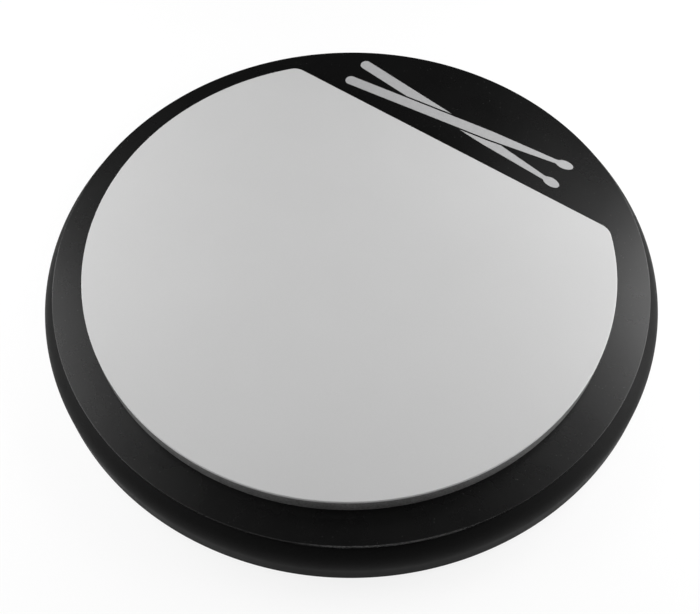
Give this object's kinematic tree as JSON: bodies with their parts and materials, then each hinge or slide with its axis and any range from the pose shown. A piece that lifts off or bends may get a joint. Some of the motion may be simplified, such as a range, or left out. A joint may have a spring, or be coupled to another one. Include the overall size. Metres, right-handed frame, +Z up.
{
  "type": "drum practice pad",
  "caption": "Round drum practice pad: a D-shaped rubber pad with a pale playing skin on a black board with a rounded rim, grip sheet and stand bush below.",
  "frame": {"origin": "centre of the underside, on the surface that the pad stands on", "axes": "+Z up out of the playing skin; +Y from the centre towards the straight edge of the playing pad and the emblem beyond it; +X to the right along that edge"},
  "size_m": [0.254, 0.254, 0.0294],
  "materials": {
    "grip_rubber": "matt fine-textured black rubber",
    "adhesive_film": "thin tacky amber film",
    "board_lacquer": "satin black lacquer over fibreboard",
    "bush_steel": "zinc-plated steel",
    "screw_steel": "zinc-plated steel",
    "deck_plastic": "black plastic sheet with a fine pebble grain",
    "pad_rubber": "matt grey gum rubber",
    "skin_coating": "smooth matt light grey coating",
    "emblem_ink": "light grey screen-printed ink"
  },
  "bodies": {
    "root": {"grip_sheet": "grip_rubber", "grip_film": "adhesive_film", "base_board": "board_lacquer", "stand_bush": "bush_steel", "bush_screw_1": "screw_steel", "bush_screw_2": "screw_steel", "bush_screw_3": "screw_steel", "deck_film": "adhesive_film", "deck_plate": "deck_plastic", "pad_film": "adhesive_film", "rubber_pad": "pad_rubber", "playing_skin": "skin_coating", "printed_emblem": "emblem_ink"}
  },
  "joints": []
}
